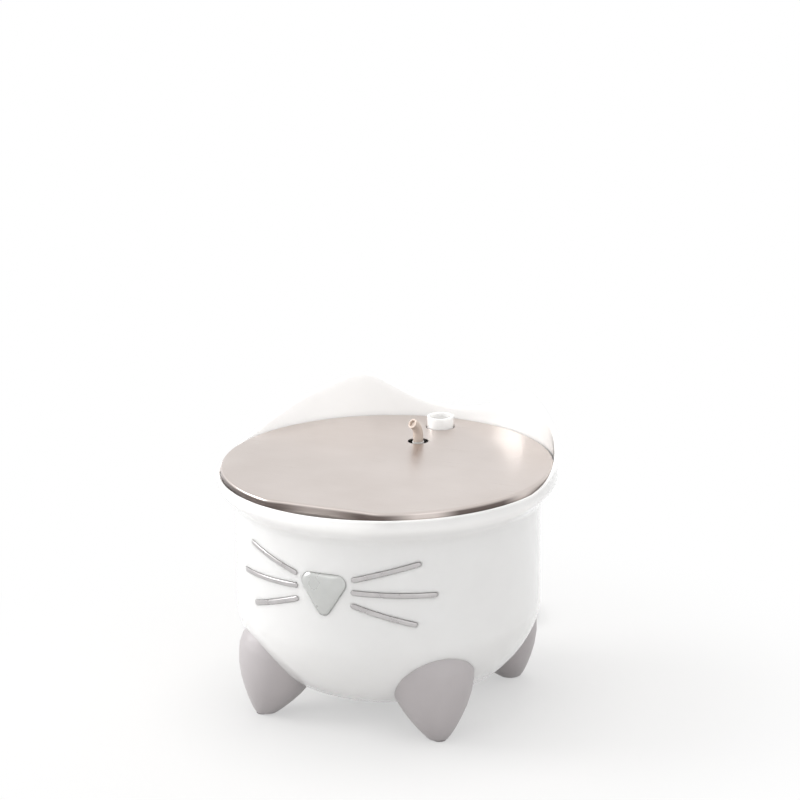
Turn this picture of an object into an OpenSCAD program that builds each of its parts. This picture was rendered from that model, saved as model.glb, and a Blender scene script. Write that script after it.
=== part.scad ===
// Pet water fountain: a round water bowl with a raised rim shaped as two ears at the back, four
// feet, a nose and whiskers. A cover with a filter tray hangs inside the rim, a steel plate lies
// on the cover, and a pump pushes water up a riser to a small swivelling spout.
// +Y is the back (the ears), -Y the face. The origin is on the floor under the middle of the bowl.

/* [Bowl] */
// Radius of the bowl's straight wall
bowl_r = 104; // [103:0.5:105]
// Radius of the flared rim
rim_r = 115.5; // [115:0.5:117]
// Height of the front rim
rim_z = 163.4; // [162:0.2:165]
// Thickness of the bowl's wall
wall = 2.5; // [2:0.1:2.8]
// Height where the rounded bottom starts
round_z = 70; // [66:1:76]
// Height of the underside above the floor
base_z = 10; // [8:0.5:11]
// Height of an ear's tip above the front rim
ear_h = 35.5; // [28:0.5:40]
// Height of the rim between the ears, above the front rim
valley_h = 12; // [8:0.5:16]

/* [Feet and face] */
// Half the width of a foot at its widest
foot_w = 29; // [25:1:32]
// Height of a foot
foot_h = 62.5; // [58:0.5:64]
// Half the width of the nose
nose_w = 15.8; // [13:0.2:17]
// Width of a whisker
whisker_w = 3.2; // [2.4:0.2:4]

/* [Cover and plate] */
// Radius of the cover
cover_r = 111.5; // [110:0.5:111.5]
// Height of the cover's skirt
cover_h = 6.8; // [6.4:0.1:7]
// Radius of the steel plate
plate_r = 112.9; // [112.6:0.1:113]
// Distance of the front flat from the middle
flat_y = 105.4; // [104:0.2:107]
// Radius of the spout's sleeve
sleeve_r = 4.1; // [3.9:0.05:4.3]
// Bend of the spout's tip
tip_bend = 55; // [35:1:65]
// Height of the refill tower above the plate
tower_h = 7.5; // [4:0.5:12]

/* [Tray and filter] */
// Half the width of the filter tray
tray_w = 43; // [41:0.5:43]
// Depth of the tray below its flange
tray_h = 25; // [23:0.5:26]
// Height of the tray's front flange
flange_h = 7.2; // [6:0.2:8]
// Side of the filter across the tray
filter_x = 75; // [70:1:77]
// Side of the filter along the tray
filter_y = 70; // [66:1:70]

/* [Pump and riser] */
// Width of the pump
pump_w = 28; // [27:0.5:30]
// Length of the pump
pump_l = 48; // [47:0.5:49]
// Height of the pump
pump_h = 31; // [30.5:0.5:32]
// Outer radius of the riser tube
tube_r = 8; // [7.2:0.1:9]
// Length of the riser tube
tube_l = 44; // [42:1:46]

/* [Cord] */
// Diameter of the lead
cord_d = 4.2; // [4:0.1:4.4]
// Turns of the coil side by side
coil_rows = 4; // [3:1:5]
// Layers of the coil
coil_layers = 2; // [1:1:3]

/* [Hidden] */
$fn = 96;
fine = 160;

// Fits: overlap of joined shapes, sliding fit, loose gap and gap under a resting part
e = 0.01;
slip = 0.05;
gap = 0.3;
rest_gap = 0.2;

white = "#f3f2f0";
grey = "#b0acac";
nose_grey = "#c8c8c6";
steel = "#c9c2bb";
pump_grey = "#d0c8c4";
lead_grey = "#9a9896";

// Heights of the stack, bottom to top
flange_z = 145;
hang_z = 156;
basin_z = 158;
ledge_z = 160;
deck_t = 2;
deck_z = ledge_z + cover_h;
plate_t = 0.8;
plate_z = deck_z + rest_gap + plate_t;
riser_y = 52;
tower_y = 90.6;
back_y = 27;

module disc_at(x, y, z, r, h) translate([x, y, z]) cylinder(r = r, h = h);
module along_y(x, y, z, r, l) translate([x, y, z]) rotate([-90, 0, 0]) cylinder(r = r, h = l);
function reverse(p) = [for (i = [len(p) - 1:-1:0]) p[i]];

// ---------- bowl ----------

// Bottom curve: powers of a rounded square
bottom_pr = 0.61;
bottom_pz = 1.33;
function bottom(r, z0) = [for (a = [0:7.5:90])
  [r * pow(cos(a), bottom_pr), round_z - (round_z - z0) * pow(sin(a), bottom_pz)]];

// Flare of the wall from flare_z up to the rim
flare_z = 141;
flare_h = 17.5;
function flare(dr, dz, r_end) = [for (a = [0:20:180])
  [min(bowl_r + dr + (rim_r - bowl_r) * (1 - cos(a)) / 2, r_end), flare_z + dz + flare_h * a / 180]];
rim_in = 113.4;
ledge_in = 109.4;

module bowl_outer() {
  side = reverse(bottom(bowl_r, base_z));
  rotate_extrude($fn = fine) polygon(concat(side, flare(0, 0, rim_r), [[rim_r, rim_z], [0, rim_z]]));
}

module bowl_inner() {
  side = reverse(bottom(bowl_r - wall, base_z + wall));
  step = ledge_z - rest_gap;
  top = [[ledge_in, step], [rim_in, step], [rim_in, rim_z + 1], [0, rim_z + 1]];
  rotate_extrude($fn = fine) polygon(concat(side, flare(-wall, 1.5, ledge_in), top));
}

// Height of the ears above the front rim, by angle from the back
ear_at = 33;
ear_tip = 3;
function bell(a) = let(d = abs(a) - ear_at) exp(-pow(d / (d < 0 ? 17 : 37), 2));
function tip_bell(a) = exp(-pow((abs(a) - ear_at) / 9, 2));
function fade(a) = 1.4 * max(0, (abs(a) - 70) / 30);
function ear(a) = (ear_h - ear_tip) * bell(a) + ear_tip * tip_bell(a)
  + (abs(a) < ear_at ? valley_h * (1 - bell(a)) : 0) - fade(a);
function ear_z(a) = rim_z + max(0, ear(a));

module rim_ring() {
  difference() {
    disc_at(0, 0, rim_z - e, rim_r, ear_h + 5);
    disc_at(0, 0, rim_z - 1, rim_in, ear_h + 8);
  }
}

module ears() {
  split = 60;
  edge = rim_r * sin(split);
  far = rim_r * cos(split);
  back = [for (a = [-split:2:split]) [rim_r * sin(a), ear_z(a)]];
  side = [for (a = [split:4:104]) [rim_r * cos(a), ear_z(a)]];
  intersection() {
    rim_ring();
    translate([0, rim_r + 10, 0]) rotate([90, 0, 0]) linear_extrude(rim_r)
      polygon(concat([[-edge, rim_z - 2]], back, [[edge, rim_z - 2]]));
  }
  intersection() {
    rim_ring();
    rotate([90, 0, 90]) linear_extrude(4 * rim_r, center = true)
      polygon(concat([[far, rim_z - 2]], side, [[side[len(side) - 1][0], rim_z - 2]]));
    difference() {
      translate([-150, -150, rim_z - 3]) cube([300, 300, 60]);
      translate([-edge, -200, rim_z - 4]) cube([2 * edge, 400, 70]);
    }
  }
}

// Raised seat for the pump's feet on the rounded floor, hollow underneath
seat_wall = 2.5;
seat_end = 2;
module seat_block(d) {
  top = -rest_gap - d;
  pump_frame() translate([d - pump_w / 2, face_y + seat_end + d, top - 40])
    cube([pump_w - 2 * d, pump_l - 2 * seat_end - 2 * d, 40]);
}

boss_r = 4;
boss_z = 18;
boss_top = 50;
pilot_r = 1.3;
screw_y = 93;
foot_angles = [-45, 45, -135, 135];
module at_foot(a) rotate([0, 0, a]) translate([0, -screw_y, 0]) children();

bush_z = 134;
bush_hole = 4.5;

module bowl() {
  color(white) difference() {
    union() {
      difference() {
        union() {
          bowl_outer();
          for (a = foot_angles) at_foot(a) disc_at(0, 0, boss_z, boss_r, boss_top - boss_z);
        }
        bowl_inner();
      }
      ears();
      intersection() {
        seat_block(0);
        bowl_outer();
      }
    }
    seat_block(seat_wall);
    for (a = foot_angles) at_foot(a) disc_at(0, 0, boss_z - 1, pilot_r, 16);
    face_pocket() nose_outline();
    for (k = whisker_ends) face_pocket() whisker_outline(k);
    translate([-bowl_r, 0, bush_z]) rotate([0, 90, 0]) cylinder(r = bush_hole, h = 20, center = true);
  }
}

// ---------- face ----------

pocket_r = bowl_r - 1;
module face_pocket() {
  difference() {
    rotate([90, 0, 0]) linear_extrude(bowl_r + 10) children();
    disc_at(0, 0, 60, pocket_r, 90);
  }
}

nose_top_r = 6.3;
nose_tip_r = 4.6;
nose_top_z = 114.6;
nose_tip_z = 96.5;
module nose_outline() {
  hull() {
    for (s = [-1, 1]) translate([s * (nose_w - nose_top_r), nose_top_z]) circle(r = nose_top_r, $fn = 32);
    translate([0, nose_tip_z]) circle(r = nose_tip_r, $fn = 32);
  }
}

dome_r = 60;
dome_proud = 2.6;
dome_z = 107;
module nose_cover() {
  color(nose_grey) intersection() {
    face_pocket() nose_outline();
    translate([0, dome_r - bowl_r - dome_proud, dome_z]) sphere(r = dome_r, $fn = fine);
  }
}

// A whisker runs from its inner to its outer end: [x, z, x, z]
whisker_ends = [
  [21.4, 118.5, 60, 129], [21, 109.6, 68.6, 107], [20.7, 100.4, 57.8, 87.4],
  [-21.4, 118.5, -60, 129], [-21, 109.6, -68.6, 107], [-20.7, 100.4, -57.8, 87.4]
];
whisker_proud = 0.8;

module whisker_outline(k) {
  run = [k[2] - k[0], k[3] - k[1]];
  r = whisker_w / 2;
  translate([k[0], k[1]]) rotate(atan2(run[1], run[0])) {
    translate([0, -r]) square([norm(run), whisker_w]);
    circle(r = r, $fn = 24);
    translate([norm(run), 0]) circle(r = r, $fn = 24);
  }
}

module whisker(i) {
  color(grey) intersection() {
    face_pocket() whisker_outline(whisker_ends[i]);
    disc_at(0, 0, 60, bowl_r + whisker_proud, 90);
  }
}

// ---------- feet ----------

pad_t = 2.3;
pad_r = 4.4;
foot_z = 0.8;
foot_lean = 18;
claw_root = [93, -0.9];

// Claw-shaped foot, turned about a line that leans in from its tip: [share of width, share of height]
claw_shape = [
  [0.145, 0], [0.2, 0.02], [0.275, 0.051], [0.365, 0.1], [0.45, 0.15], [0.595, 0.245], [0.74, 0.355],
  [0.885, 0.5], [0.965, 0.63], [1, 0.72], [0.985, 0.82], [0.92, 0.92], [0.72, 1], [0.4, 1.04]
];
module claw() {
  side = [for (p = claw_shape) [foot_w * p[0], foot_h * p[1]]];
  translate([0, -claw_root[0], claw_root[1]]) rotate([-foot_lean, 0, 0])
    rotate_extrude($fn = fine) polygon(concat([[0, 0]], side, [[0, foot_h * 1.04]]));
}

screw_hole_r = 1.7;
head_hole_r = 3.6;
head_z = 14;

module foot(a) {
  color(grey) rotate([0, 0, a]) difference() {
    claw();
    bowl_outer();
    disc_at(0, -screw_y, -20, 40, 20 + foot_z);
    disc_at(0, -screw_y, boss_z, boss_r + slip, 40);
    disc_at(0, -screw_y, boss_z - 5, screw_hole_r, 10);
    disc_at(0, -screw_y, -1, head_hole_r, head_z + 1);
    disc_at(0, -screw_y, -1, pad_r + 0.1, 1 + pad_t);
  }
}

module foot_pads() {
  color("#8a8686") for (a = foot_angles) at_foot(a) cylinder(r = pad_r, h = pad_t);
}

head_r = 3;
head_t = 2.4;
module foot_screws() {
  color("#8f9194") for (a = foot_angles) at_foot(a) {
    difference() {
      disc_at(0, 0, head_z - head_t, head_r, head_t);
      disc_at(0, 0, head_z - head_t - 1, 1.2, 2.3);
    }
    disc_at(0, 0, head_z - e, pilot_r - 0.02, 17);
  }
}

// ---------- cover, plate and spout ----------

module flat_disc(r, y, h) {
  linear_extrude(h) difference() {
    circle(r = r, $fn = fine);
    translate([-r, -y - r]) square([2 * r, r]);
  }
}

// The basin is an offset circle, so that the tower stands in it
basin_r = 94.5;
basin_y = 7;
ring_r = 5.5;
ring_z = 161.1;
pipe_r = 6;
pipe_z = 112;
step_r = 3.2;
tower_r = 9.3;
tower_bore = 7.5;
drain_y = -62;

module drip_ring() {
  disc_at(0, riser_y, basin_z - 1, ring_r + 2.5, 2);
  disc_at(0, riser_y, basin_z - 1, ring_r, ring_z - basin_z + 1);
}

module tower() {
  disc_at(0, tower_y, hang_z, tower_r, plate_z + tower_h - hang_z);
  translate([0, tower_y, basin_z - 1]) cylinder(r1 = tower_r + 2.4, r2 = tower_r, h = 5);
}

module cover() {
  lip = flat_y - 1.4;
  color(white) difference() {
    union() {
      difference() {
        union() {
          translate([0, 0, ledge_z]) flat_disc(cover_r, lip, cover_h);
          disc_at(0, basin_y, hang_z, basin_r + 2, ledge_z - hang_z + 1);
        }
        difference() {
          translate([0, 0, ledge_z - 1]) flat_disc(cover_r - 2, lip - 2, cover_h + 1 - deck_t);
          disc_at(0, basin_y, hang_z - 1, basin_r + 2, 20);
        }
        disc_at(0, basin_y, basin_z, basin_r, 20);
      }
      drip_ring();
      intersection() {
        tower();
        disc_at(0, basin_y, hang_z - 1, basin_r + 1, 40);
      }
      disc_at(0, riser_y, pipe_z, pipe_r, hang_z - pipe_z + 1);
      lugs();
      rails();
    }
    disc_at(0, riser_y, basin_z, sleeve_r + slip, 20);
    disc_at(0, riser_y, pipe_z - 1, step_r, 60);
    disc_at(0, tower_y, hang_z - 1, tower_bore, 40);
    for (x = [-32:16:32]) translate([x - 5, drain_y - 1.5, hang_z - 1]) cube([10, 3, 5]);
  }
}

// Two rounded lugs hang from the front of the cover, just inside the bowl
lug_x = 49;
lug_y = -86;
lug_r = 14;
lug_z = 151;
lug_t = 2.5;
module lugs() {
  for (s = [-1, 1]) difference() {
    intersection() {
      along_y(s * lug_x, lug_y, lug_z + lug_r, lug_r, lug_t);
      translate([-100, -100, lug_z - 1]) cube([200, 200, deck_z - lug_z]);
    }
    along_y(s * lug_x, lug_y - 1, lug_z + 4.5, 1.4, lug_t + 2);
  }
}

// Two rails carry the ribs on the tray's sides
rail_y = -9;
rail_l = 26;
rail_t = 2;
rib_y = -19;
rib_w = 1.3;
rib_z = 138.6;
rib_t = 1.5;
toe_t = 1.7;
module rails() {
  toe_z = rib_z - gap - toe_t;
  for (s = [0, 1]) mirror([s, 0, 0]) {
    translate([tray_w + rib_w + gap, rail_y, toe_z]) cube([rail_t, rail_l, hang_z + 1 - toe_z]);
    translate([tray_w + 0.4, rail_y, toe_z]) cube([rail_t + 1, rail_l, toe_t]);
  }
}

plate_hole = 7.2;
plate_slot = 9.8;
collar_h = 3;
module steel_plate() {
  skirt = plate_z - ledge_z - rest_gap;
  color(steel) difference() {
    union() {
      difference() {
        translate([0, 0, plate_z - skirt]) flat_disc(plate_r, flat_y, skirt);
        translate([0, 0, plate_z - skirt - 1])
          flat_disc(plate_r - plate_t, flat_y - plate_t, skirt + 1 - plate_t);
      }
      disc_at(0, tower_y, plate_z - collar_h, plate_slot + plate_t, collar_h);
    }
    disc_at(0, riser_y, plate_z - 5, plate_hole, 10);
    disc_at(0, tower_y, plate_z - 5, plate_slot, 10);
  }
}

sleeve_l = 9.5;
sleeve_bore = 2.9;
sleeve_z = basin_z + rest_gap;
module spout_sleeve() {
  color("#d9d6d2") translate([0, riser_y, sleeve_z]) difference() {
    cylinder(r = sleeve_r, h = sleeve_l);
    translate([0, 0, -1]) cylinder(r = sleeve_bore + slip, h = sleeve_l + 2);
  }
}

// The tip's shank turns in the sleeve; above it the tip bends towards the face
tip_r = 3.5;
tip_bore = 2.3;
tip_rise = 5;
bend_r = 9.5;
tip_out = 1.5;
tip_turn = -24;
shank_l = 8;

tip_lap = 0.6;
module tip_arc() {
  translate([0, -bend_r, tip_rise]) rotate([90, 0, 90])
    rotate_extrude(angle = tip_bend) translate([bend_r, 0]) circle(r = tip_r - 0.15);
}

module tip_end(r, from, to) {
  translate([0, -bend_r, tip_rise]) rotate([tip_bend, 0, 0]) translate([0, bend_r, from])
    cylinder(r = r, h = to - from);
}

module spout_tip() {
  color("#b8a89e") translate([0, riser_y, sleeve_z + sleeve_l + rest_gap]) rotate([0, 0, tip_turn])
    difference() {
      union() {
        cylinder(r = tip_r, h = tip_rise + tip_lap);
        translate([0, 0, -shank_l]) cylinder(r = sleeve_bore, h = shank_l + 1);
        tip_arc();
        tip_end(tip_r, -tip_lap, tip_out);
      }
      translate([0, 0, -shank_l - 1]) cylinder(r = tip_bore, h = shank_l + tip_rise);
      tip_end(tip_bore, 0, tip_out + 1);
    }
}

// ---------- filter tray and filter ----------

tray_z = flange_z - tray_h;
tray_t = 1.6;
chord_y = -66;
front_y = -48.2;
corner_r = 12;
niche_r = 12;
niche_z = 149;
wing_w = 45.7;
wing_y = front_y + corner_r;
shelf_z = flange_z - flange_h;
shelf_drop = 4.4;
arc_r = 134.5;
arc_y = chord_y + sqrt(arc_r * arc_r - wing_w * wing_w);

// Plan of the tub, shrunk by d
module tub_plan(d) {
  r = corner_r - d;
  w = tray_w - corner_r;
  translate([-w, front_y + d]) square([2 * w, back_y - front_y - 2 * d]);
  translate([d - tray_w, wing_y]) square([2 * (tray_w - d), back_y - front_y - 2 * corner_r]);
  for (s = [-1, 1], y = [wing_y, back_y - corner_r]) translate([s * w, y]) circle(r = r);
  translate([0, back_y]) circle(r = niche_r - d);
}

// Plan of the shelf in front of the tub, which ends in the arc of the flange
module shelf_plan(d) {
  far = chord_y - 20;
  intersection() {
    translate([0, arc_y]) circle(r = arc_r - d, $fn = fine);
    polygon([[d - wing_w, far], [wing_w - d, far], [wing_w - d, chord_y], [tray_w - d, wing_y],
      [d - tray_w, wing_y], [d - wing_w, chord_y]]);
  }
}

module across(p) rotate([90, 0, 90]) linear_extrude(200, center = true) polygon(p);

// The shelf falls towards the tub, so that water runs into the filter
module shelf(d, top) {
  low = shelf_z - shelf_drop;
  intersection() {
    translate([0, 0, low - 1]) linear_extrude(top - low + 1) shelf_plan(d);
    across([[chord_y - 20, shelf_z + d], [chord_y, shelf_z + d], [wing_y, low + d], [wing_y, top + 9],
      [chord_y - 20, top + 9]]);
  }
}

// Top edge of the side walls: distance behind the flange's ends, drop below the flange
wall_line = [[0, 0], [15, -4], [29, -6.5], [45, -5], [60, -1.5], [75, 1.5], [93, 2]];

module wall_cut() {
  top = flange_z + 20;
  line = [for (p = wall_line) [chord_y + p[0], flange_z + p[1]]];
  difference() {
    across(concat([[chord_y - 20, top], [chord_y - 20, flange_z]], line,
      [[back_y + 20, flange_z + 2], [back_y + 20, top]]));
    disc_at(0, back_y, flange_z - 10, niche_r + 0.5, 40);
    translate([-60, chord_y - 20, flange_z - 1]) cube([120, 22, 5]);
  }
}

notch_x = 16.5;
notch_w = 9;
notch_h = 9.5;
module filter_tray() {
  color("#eceae6") difference() {
    union() {
      translate([0, 0, tray_z]) linear_extrude(niche_z - tray_z) tub_plan(0);
      shelf(0, flange_z);
      for (s = [0, 1]) mirror([s, 0, 0]) {
        translate([tray_w - 1, rib_y, rib_z]) cube([1 + rib_w, back_y - corner_r - rib_y, rib_t]);
        translate([wing_w - 2, chord_y - 0.5, flange_z - 1]) cube([2, 2, 4]);
      }
    }
    translate([0, 0, tray_z + tray_t]) linear_extrude(40) tub_plan(tray_t);
    shelf(tray_t, flange_z + 20);
    wall_cut();
    for (s = [-1, 1]) translate([s * notch_x - notch_w / 2, back_y - 4, flange_z + 2 - notch_h])
      cube([notch_w, 8, 20]);
    translate([-0.5, back_y + 8, tray_z + 7]) cube([1, 8, 30]);
    for (x = [-30:12:30], y = [front_y + 14:12:back_y - 10]) disc_at(x, y, tray_z - 1, 1.6, 4);
  }
}

filter_z = tray_z + tray_t + rest_gap;
pocket_h = 10;
pouch_t = 1;
felt_t = 0.9;
film_t = 0.8;
filter_cy = front_y + tray_t + 0.7 + filter_y / 2;
filter_hole = 7.5;
pocket_x = filter_x / 4 - 0.6;
pocket_y = filter_y / 4 - 0.6;
carbon_at = [[-1, -1]];
resin_at = [[1, -1], [-1, 1], [1, 1]];

module rounded(x, y, r) {
  square([x - 2 * r, y], center = true);
  square([x, y - 2 * r], center = true);
  for (s = [-1, 1], t = [-1, 1]) translate([s * (x / 2 - r), t * (y / 2 - r)]) circle(r = r, $fn = 32);
}

module pocket_plan(d) rounded(filter_x / 2 - 5 - 2 * d, filter_y / 2 - 5 - 2 * d, 6 - d);
module at_pockets(list) {
  for (c = list) translate([c[0] * pocket_x, filter_cy + c[1] * pocket_y, 0]) children();
}

module filter_pouch() {
  every = concat(carbon_at, resin_at);
  color("#e3c9b4") difference() {
    union() {
      translate([0, filter_cy, filter_z + pocket_h]) linear_extrude(pouch_t) rounded(filter_x, filter_y, 7);
      at_pockets(every) translate([0, 0, filter_z]) linear_extrude(pocket_h + e) pocket_plan(0);
    }
    at_pockets(every) translate([0, 0, filter_z + film_t]) linear_extrude(pocket_h + 3) pocket_plan(film_t);
    disc_at(0, filter_cy, filter_z - 1, filter_hole, pocket_h + 5);
  }
}

module filter_felt() {
  color("#dccabb") translate([0, filter_cy, filter_z + pocket_h + pouch_t]) linear_extrude(felt_t)
    difference() {
      rounded(filter_x - 1, filter_y - 1, 6.5);
      circle(r = filter_hole);
    }
}

module fill(list) {
  deep = pocket_h + pouch_t - film_t;
  difference() {
    at_pockets(list) translate([0, 0, filter_z + film_t]) linear_extrude(deep) pocket_plan(film_t);
    disc_at(0, filter_cy, filter_z - 1, filter_hole + 1, pocket_h + 5);
  }
}

module carbon_fill() color("#6d655f") fill(carbon_at);
module resin_fill() color("#e0a070") fill(resin_at);

// ---------- pump ----------

pump_z = 33;
pump_turn = -35;
nozzle_y = 9;
nozzle_r = 4.25;
nozzle_h = 19;
nozzle_bore = 3;
well_r = 5.5;
magnet_r = 5.2;
chamber_r = 9.5;
eye_r = 4;
shaft_r = 1;
shaft_z = 15.5;
volute_y = 3;
intake_y = 20;
face_y = -pump_l / 2;
corner = 2.5;

// Frame of the pump: its middle, turned about the riser; -Y is the end with the light
module pump_frame() {
  translate([0, riser_y, pump_z]) rotate([0, 0, pump_turn]) translate([0, -nozzle_y, 0]) children();
}

module pump_block(y0, y1) {
  translate([0, y1, pump_h / 2]) rotate([90, 0, 0]) linear_extrude(y1 - y0)
    rounded(pump_w, pump_h, corner);
}

knob_x = -11.3;
knob_z = 24.5;
knob_r = 3.4;
stem_r = 1.3;
gland_x = 10.6;
gland_z = 27.6;
gland_r = 2.2;
led_z = 10.6;
led_r = 1.8;
sensor_z = 15.3;
sensor_r = 1.2;
stator_x = 9.5;

module pump_housing() {
  color(pump_grey) pump_frame() difference() {
    pump_block(face_y, volute_y);
    along_y(0, -19, shaft_z, well_r, 40);
    along_y(0, -21, shaft_z, shaft_r, 4);
    for (s = [-1, 1]) translate([s * stator_x - 2.7, -19, shaft_z - 9]) cube([5.4, 30, 14]);
    along_y(knob_x, face_y - 1, knob_z, stem_r + slip, 5);
    along_y(gland_x, face_y - 1, gland_z, gland_r, 4);
    along_y(0, face_y - 1, led_z, led_r, 4);
    along_y(0, face_y - 1, sensor_z, sensor_r, 3);
  }
}

module pump_volute() {
  color(pump_grey) pump_frame() difference() {
    union() {
      pump_block(volute_y, intake_y);
      translate([0, nozzle_y, pump_h - 1]) cylinder(r = nozzle_r, h = nozzle_h + 1);
      translate([0, nozzle_y, pump_h - 1]) cylinder(r = nozzle_r + 1, h = 2);
    }
    along_y(0, volute_y - 1, shaft_z, chamber_r, 12);
    along_y(0, volute_y, shaft_z, eye_r, 30);
    translate([0, nozzle_y, shaft_z]) cylinder(r = nozzle_bore, h = 60);
  }
}

module pump_intake() {
  color(pump_grey) pump_frame() difference() {
    union() {
      pump_block(intake_y + rest_gap, pump_l / 2);
      along_y(0, intake_y - 3, shaft_z, eye_r - gap, 4);
    }
    for (x = [-8:4:8]) translate([x - 0.9, intake_y + 1.6, shaft_z - 8]) cube([1.8, 9, 16]);
    along_y(0, intake_y - 4, shaft_z, 2.6, 6);
  }
}

module pump_stator() {
  color("#8c6f4a") pump_frame() for (s = [-1, 1])
    translate([s * stator_x - 2.6, -18.9, shaft_z - 8.9]) cube([5.2, 21, 13.8]);
}

module pump_shaft() {
  color("#e8e6e0") pump_frame() along_y(0, -21, shaft_z, shaft_r, 34);
}

disc_y = 3.6;
blade_w = 1.2;
module impeller() {
  color("#3c3f44") pump_frame() difference() {
    union() {
      along_y(0, -18, shaft_z, magnet_r, 18 + disc_y);
      along_y(0, disc_y, shaft_z, 8.4, 1.6);
      along_y(0, 5, shaft_z, 2.6, 6);
      for (a = [0:60:300]) translate([0, 5, shaft_z]) rotate([0, a, 0]) translate([0, 0, -blade_w / 2])
        cube([8.2, 5.4, blade_w]);
    }
    along_y(0, -20, shaft_z, shaft_r + slip, 40);
  }
}

module flow_knob() {
  color("#a8a29e") pump_frame() difference() {
    union() {
      along_y(knob_x, face_y - 7, knob_z, knob_r, 6.2);
      along_y(knob_x, face_y - 1, knob_z, stem_r, 4.8);
    }
    translate([knob_x - 0.5, face_y - 8, knob_z - 2.4]) cube([1, 1.6, 4.8]);
  }
}

module level_led() {
  color("#d02018") pump_frame() {
    along_y(0, face_y, led_z, led_r, 3);
    translate([0, face_y + 0.6, led_z]) intersection() {
      sphere(r = led_r);
      translate([-3, -4, -3]) cube([6, 4, 6]);
    }
  }
}

module light_sensor() {
  color("#f6f4ee") pump_frame() along_y(0, face_y - 0.3, sensor_z, sensor_r, 2.3);
}

gland_l = 5;
module pump_gland() {
  color(lead_grey) pump_frame() {
    along_y(gland_x, face_y - 1.5, gland_z, 2.9, 1.5);
    along_y(gland_x, face_y - 1, gland_z, gland_r, 4);
    translate([gland_x, face_y - gland_l, gland_z]) rotate([-90, 0, 0])
      cylinder(r1 = 2.3, r2 = 2.9, h = 4);
  }
}

socket_l = 9;
socket_h = 14;
tube_z = pump_z + pump_h + nozzle_h - socket_l;
module riser_tube() {
  color("#f4f4f2") translate([0, riser_y, tube_z]) difference() {
    cylinder(r = tube_r, h = tube_l);
    translate([0, 0, -1]) cylinder(r = nozzle_r + slip, h = tube_l + 2);
    translate([0, 0, socket_h]) cylinder(r = pipe_r + slip, h = tube_l);
  }
}

// ---------- cord ----------

cord_r = cord_d / 2;
lead_gap = 0.5;
gland_mouth = [gland_x, face_y - gland_l - lead_gap - nozzle_y];
lead_start = [
  gland_mouth[0] * cos(pump_turn) - gland_mouth[1] * sin(pump_turn),
  riser_y + gland_mouth[0] * sin(pump_turn) + gland_mouth[1] * cos(pump_turn),
  pump_z + gland_z
];
inner_route = [
  [-19, 5, 59.5], [-28, -7, 55], [-38, -22, 47], [-46, -35, 38], [-54, -41, 32], [-65, -38, 33],
  [-77, -26, 42], [-87, -11, 58], [-92, -2, 80], [-93, 0, 102], [-92, 0, 120]
];
inner_end = [-99.8, 0, bush_z];
outer_start = [-115, 0, bush_z];
outer_route = [
  [-118.5, 5, 131], [-119.5, 14, 120], [-116.5, 26, 104], [-110.5, 40, 80], [-104, 54, 52], [-96, 71, 26],
  [-86, 90, 8], [-72, 108, 2.8], [-56, 122, 2.3], [-40, 132, 2.2], [-22, 137.4, 2.2]
];
coil_at = [0, 172];
coil_mid = 23;
coil_w = coil_rows * cord_d;
coil_out = coil_mid + coil_w / 2;
outer_end = [coil_at[0], coil_at[1] - coil_out - cord_r, 2.2];
tail_start = [coil_at[0], coil_at[1] + coil_out + cord_r, 2.2];
tail_route = [[-12, 205.4, 2.2], [-23, 201.5, 2.4], [-33, 196.5, 2.9], [-44, 194.1, 3.5]];
plug_at = [-56, 196, 3.8];
plug_turn = 170;

// Points of a route and the points halfway between them, on a smooth curve
function curve(p, i, t) = let(a = p[max(0, i - 1)], b = p[i], c = p[i + 1], d = p[min(len(p) - 1, i + 2)])
  0.5 * (2 * b + (c - a) * t + (2 * a - 5 * b + 4 * c - d) * t * t + (3 * b - a - 3 * c + d) * t * t * t);
function smooth(p) = concat([for (i = [0:len(p) - 2], t = [0, 0.5]) curve(p, i, t)], [p[len(p) - 1]]);
function unit(v) = v / norm(v);
function ahead(p, i) = unit(p[min(i + 1, len(p) - 1)] - p[max(i - 1, 0)]);

sides = 10;
module cord_tube(p, side) {
  last = len(p) - 1;
  rings = [for (i = [0:last], k = [0:sides - 1])
    let(d = ahead(p, i), u = unit(cross(d, side)), v = cross(d, u), a = 360 * k / sides)
      p[i] + cord_r * (cos(a) * u + sin(a) * v)];
  walls = [for (i = [0:last - 1], k = [0:sides - 1]) let(m = (k + 1) % sides)
    [i * sides + k, i * sides + m, (i + 1) * sides + m, (i + 1) * sides + k]];
  ends = [[for (k = [sides - 1:-1:0]) k], [for (k = [0:sides - 1]) last * sides + k]];
  color(lead_grey) polyhedron(rings, concat(walls, ends));
}

module inner_lead() cord_tube(smooth(concat([lead_start], inner_route, [inner_end])), [0.6, -1, 0.1]);
module outer_cord() cord_tube(smooth(concat([outer_start], outer_route, [outer_end])), [0, 0.3, 1]);
module cord_tail() cord_tube(smooth(concat([tail_start], tail_route, [plug_at])), [0, 0, 1]);

module cord_coil() {
  color(lead_grey) translate([coil_at[0], coil_at[1], 0]) rotate_extrude($fn = fine)
    translate([coil_mid - coil_w / 2, 0.1]) square([coil_w, coil_layers * cord_d]);
}

bush_r = 6.4;
bush_t = 1.5;
module cord_bush() {
  inside = bowl_r - wall - rest_gap - bush_t;
  color(lead_grey) translate([0, 0, bush_z]) rotate([0, -90, 0]) {
    translate([0, 0, inside]) cylinder(r = bush_r, h = bush_t);
    translate([0, 0, inside + 1]) cylinder(r = bush_hole, h = wall + 3);
    translate([0, 0, bowl_r]) cylinder(r = bush_r, h = 1.8);
    translate([0, 0, bowl_r + 1]) cylinder(r1 = 4, r2 = cord_r + 0.3, h = 10);
  }
}

plug_h = 7.6;
module plug_frame() translate([plug_at[0], plug_at[1], 0]) rotate([0, 0, plug_turn]) children();

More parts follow.
